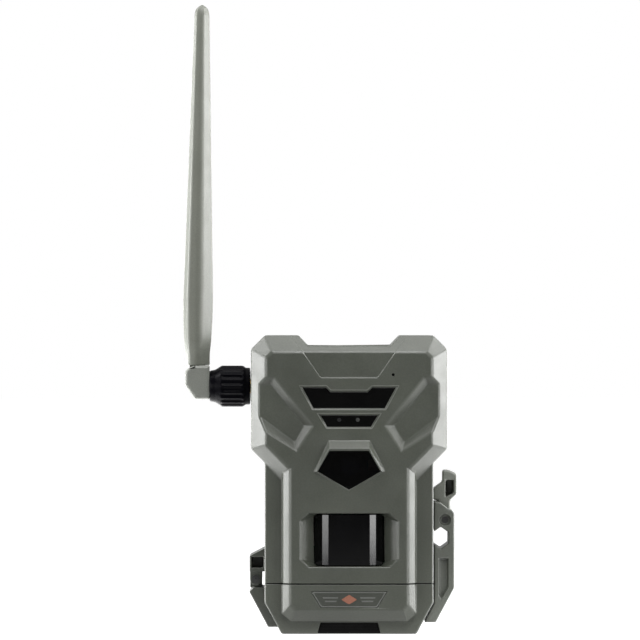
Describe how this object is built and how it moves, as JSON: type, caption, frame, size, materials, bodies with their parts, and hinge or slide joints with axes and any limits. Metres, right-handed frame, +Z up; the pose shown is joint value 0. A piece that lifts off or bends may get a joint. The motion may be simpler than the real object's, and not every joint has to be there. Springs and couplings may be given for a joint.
{
  "type": "trail camera",
  "caption": "Cellular trail camera with a lens under a hood, infrared lamp window, motion sensor, folding antenna and a hinged, latched bottom door over a battery tray.",
  "frame": {"origin": "on the flat base that the camera stands on, on the body's centre plane", "axes": "+X to the right seen from the front, -Y out of the front face along the lens axis, +Z up"},
  "size_m": [0.1203, 0.079, 0.2744],
  "materials": {
    "olive_shell": "satin moulded",
    "dark_olive": "satin moulded",
    "antenna_grey": "satin moulded",
    "black_gloss": "gloss, infrared-pass",
    "black_satin": "satin",
    "black_rubber": "matte",
    "lens_glass": "coated glass",
    "filter_glass": "coated glass",
    "circuit_board": "solder mask",
    "led_clear": "clear epoxy",
    "steel": "satin",
    "brass": "machined",
    "tray_plastic": "matte moulded",
    "cell_jacket": "printed film",
    "button_red": "satin",
    "button_grey": "satin",
    "coil_copper": "enamelled wire",
    "pin_steel": "blackened"
  },
  "bodies": {
    "housing": {"front_housing": "olive_shell", "rear_housing": "olive_shell", "housing_gasket": "black_rubber", "housing_screws": "steel", "ir_window": "black_gloss", "ir_led_board": "circuit_board", "ir_leds": "led_clear", "sensor_window": "black_gloss", "light_sensor": "led_clear", "indicator_led": "led_clear", "lens_window": "black_gloss", "lens_barrel": "black_satin", "lens_glass": "lens_glass", "lens_holder": "black_satin", "image_sensor_board": "circuit_board", "ir_cut_coil": "coil_copper", "pir_lens": "black_gloss", "pir_sensor": "steel", "pir_board": "circuit_board", "main_board": "circuit_board", "board_screws": "steel", "modem_module": "steel", "antenna_cable": "black_rubber", "microphone": "black_satin", "battery_bay": "tray_plastic", "bay_contacts": "brass", "control_panel": "black_satin", "control_board": "circuit_board", "status_lights": "led_clear", "microsd_slot": "steel", "sim_holder": "steel", "dc_jack": "black_satin", "tripod_insert": "brass", "hinge_bracket": "dark_olive", "hinge_pin": "pin_steel", "latch_keeper": "dark_olive", "antenna_socket": "brass", "antenna_gasket": "black_rubber"},
    "ir_filter": {"ir_cut_filter": "filter_glass"},
    "power_button": {"power_button": "button_red"},
    "format_button": {"format_button": "button_grey"},
    "microsd": {"microsd_card": "black_satin"},
    "dc_cover": {"dc_plug": "black_rubber"},
    "door": {"bottom_door": "olive_shell", "door_seal": "black_rubber", "badge_plate": "dark_olive", "hinge_arm": "dark_olive", "latch_arm": "olive_shell", "arm_screws": "steel", "latch_pin": "pin_steel"},
    "lever": {"latch_lever": "olive_shell"},
    "tray": {"battery_tray": "tray_plastic", "batteries": "cell_jacket", "tray_contacts": "steel"},
    "collar": {"collar_nut": "black_satin"},
    "elbow": {"antenna_elbow": "antenna_grey", "antenna_pin": "pin_steel"},
    "antenna": {"antenna_blade": "antenna_grey"}
  },
  "joints": [
    {"name": "door_hinge", "type": "hinge", "parent": "housing", "child": "door", "pos_m": [-0.0406, 0, 0.0229], "axis": [0, 1, 0], "range_deg": [0, 100]},
    {"name": "latch_turn", "type": "hinge", "parent": "door", "child": "lever", "pos_m": [0.042, 0.011, 0.0488], "axis": [0, 1, 0], "range_deg": [0, 40]},
    {"name": "tray_slide", "type": "slide", "parent": "housing", "child": "tray", "axis": [0, 0, -1], "range_m": [0, 0.032]},
    {"name": "filter_slide", "type": "slide", "parent": "housing", "child": "ir_filter", "axis": [1, 0, 0], "range_m": [0, 0.0075]},
    {"name": "power_press", "type": "slide", "parent": "housing", "child": "power_button", "axis": [0, 0, 1], "range_m": [0, 0.0006], "stiffness_N_per_m": 800},
    {"name": "format_press", "type": "slide", "parent": "housing", "child": "format_button", "axis": [0, 0, 1], "range_m": [0, 0.0006], "stiffness_N_per_m": 600},
    {"name": "card_slide", "type": "slide", "parent": "housing", "child": "microsd", "axis": [0, 0, -1], "range_m": [-0.0008, 0.0035]},
    {"name": "dc_cover_pull", "type": "slide", "parent": "housing", "child": "dc_cover", "axis": [-1, 0, 0], "range_m": [0, 0.012]},
    {"name": "collar_turn", "type": "hinge", "parent": "housing", "child": "collar", "pos_m": [-0.052, 0.004, 0.1072], "axis": [1, 0, 0], "continuous": true},
    {"name": "antenna_swivel", "type": "hinge", "parent": "housing", "child": "elbow", "pos_m": [-0.0663, 0.004, 0.1072], "axis": [1, 0, 0], "range_deg": [-135, 135]},
    {"name": "antenna_tilt", "type": "hinge", "parent": "elbow", "child": "antenna", "pos_m": [-0.0663, 0.004, 0.1095], "axis": [0, -1, 0], "range_deg": [0, 90]}
  ],
  "couplings": [
    {"joint": "tray_slide", "follows": "door_hinge", "m_per_rad": 0.018}
  ]
}
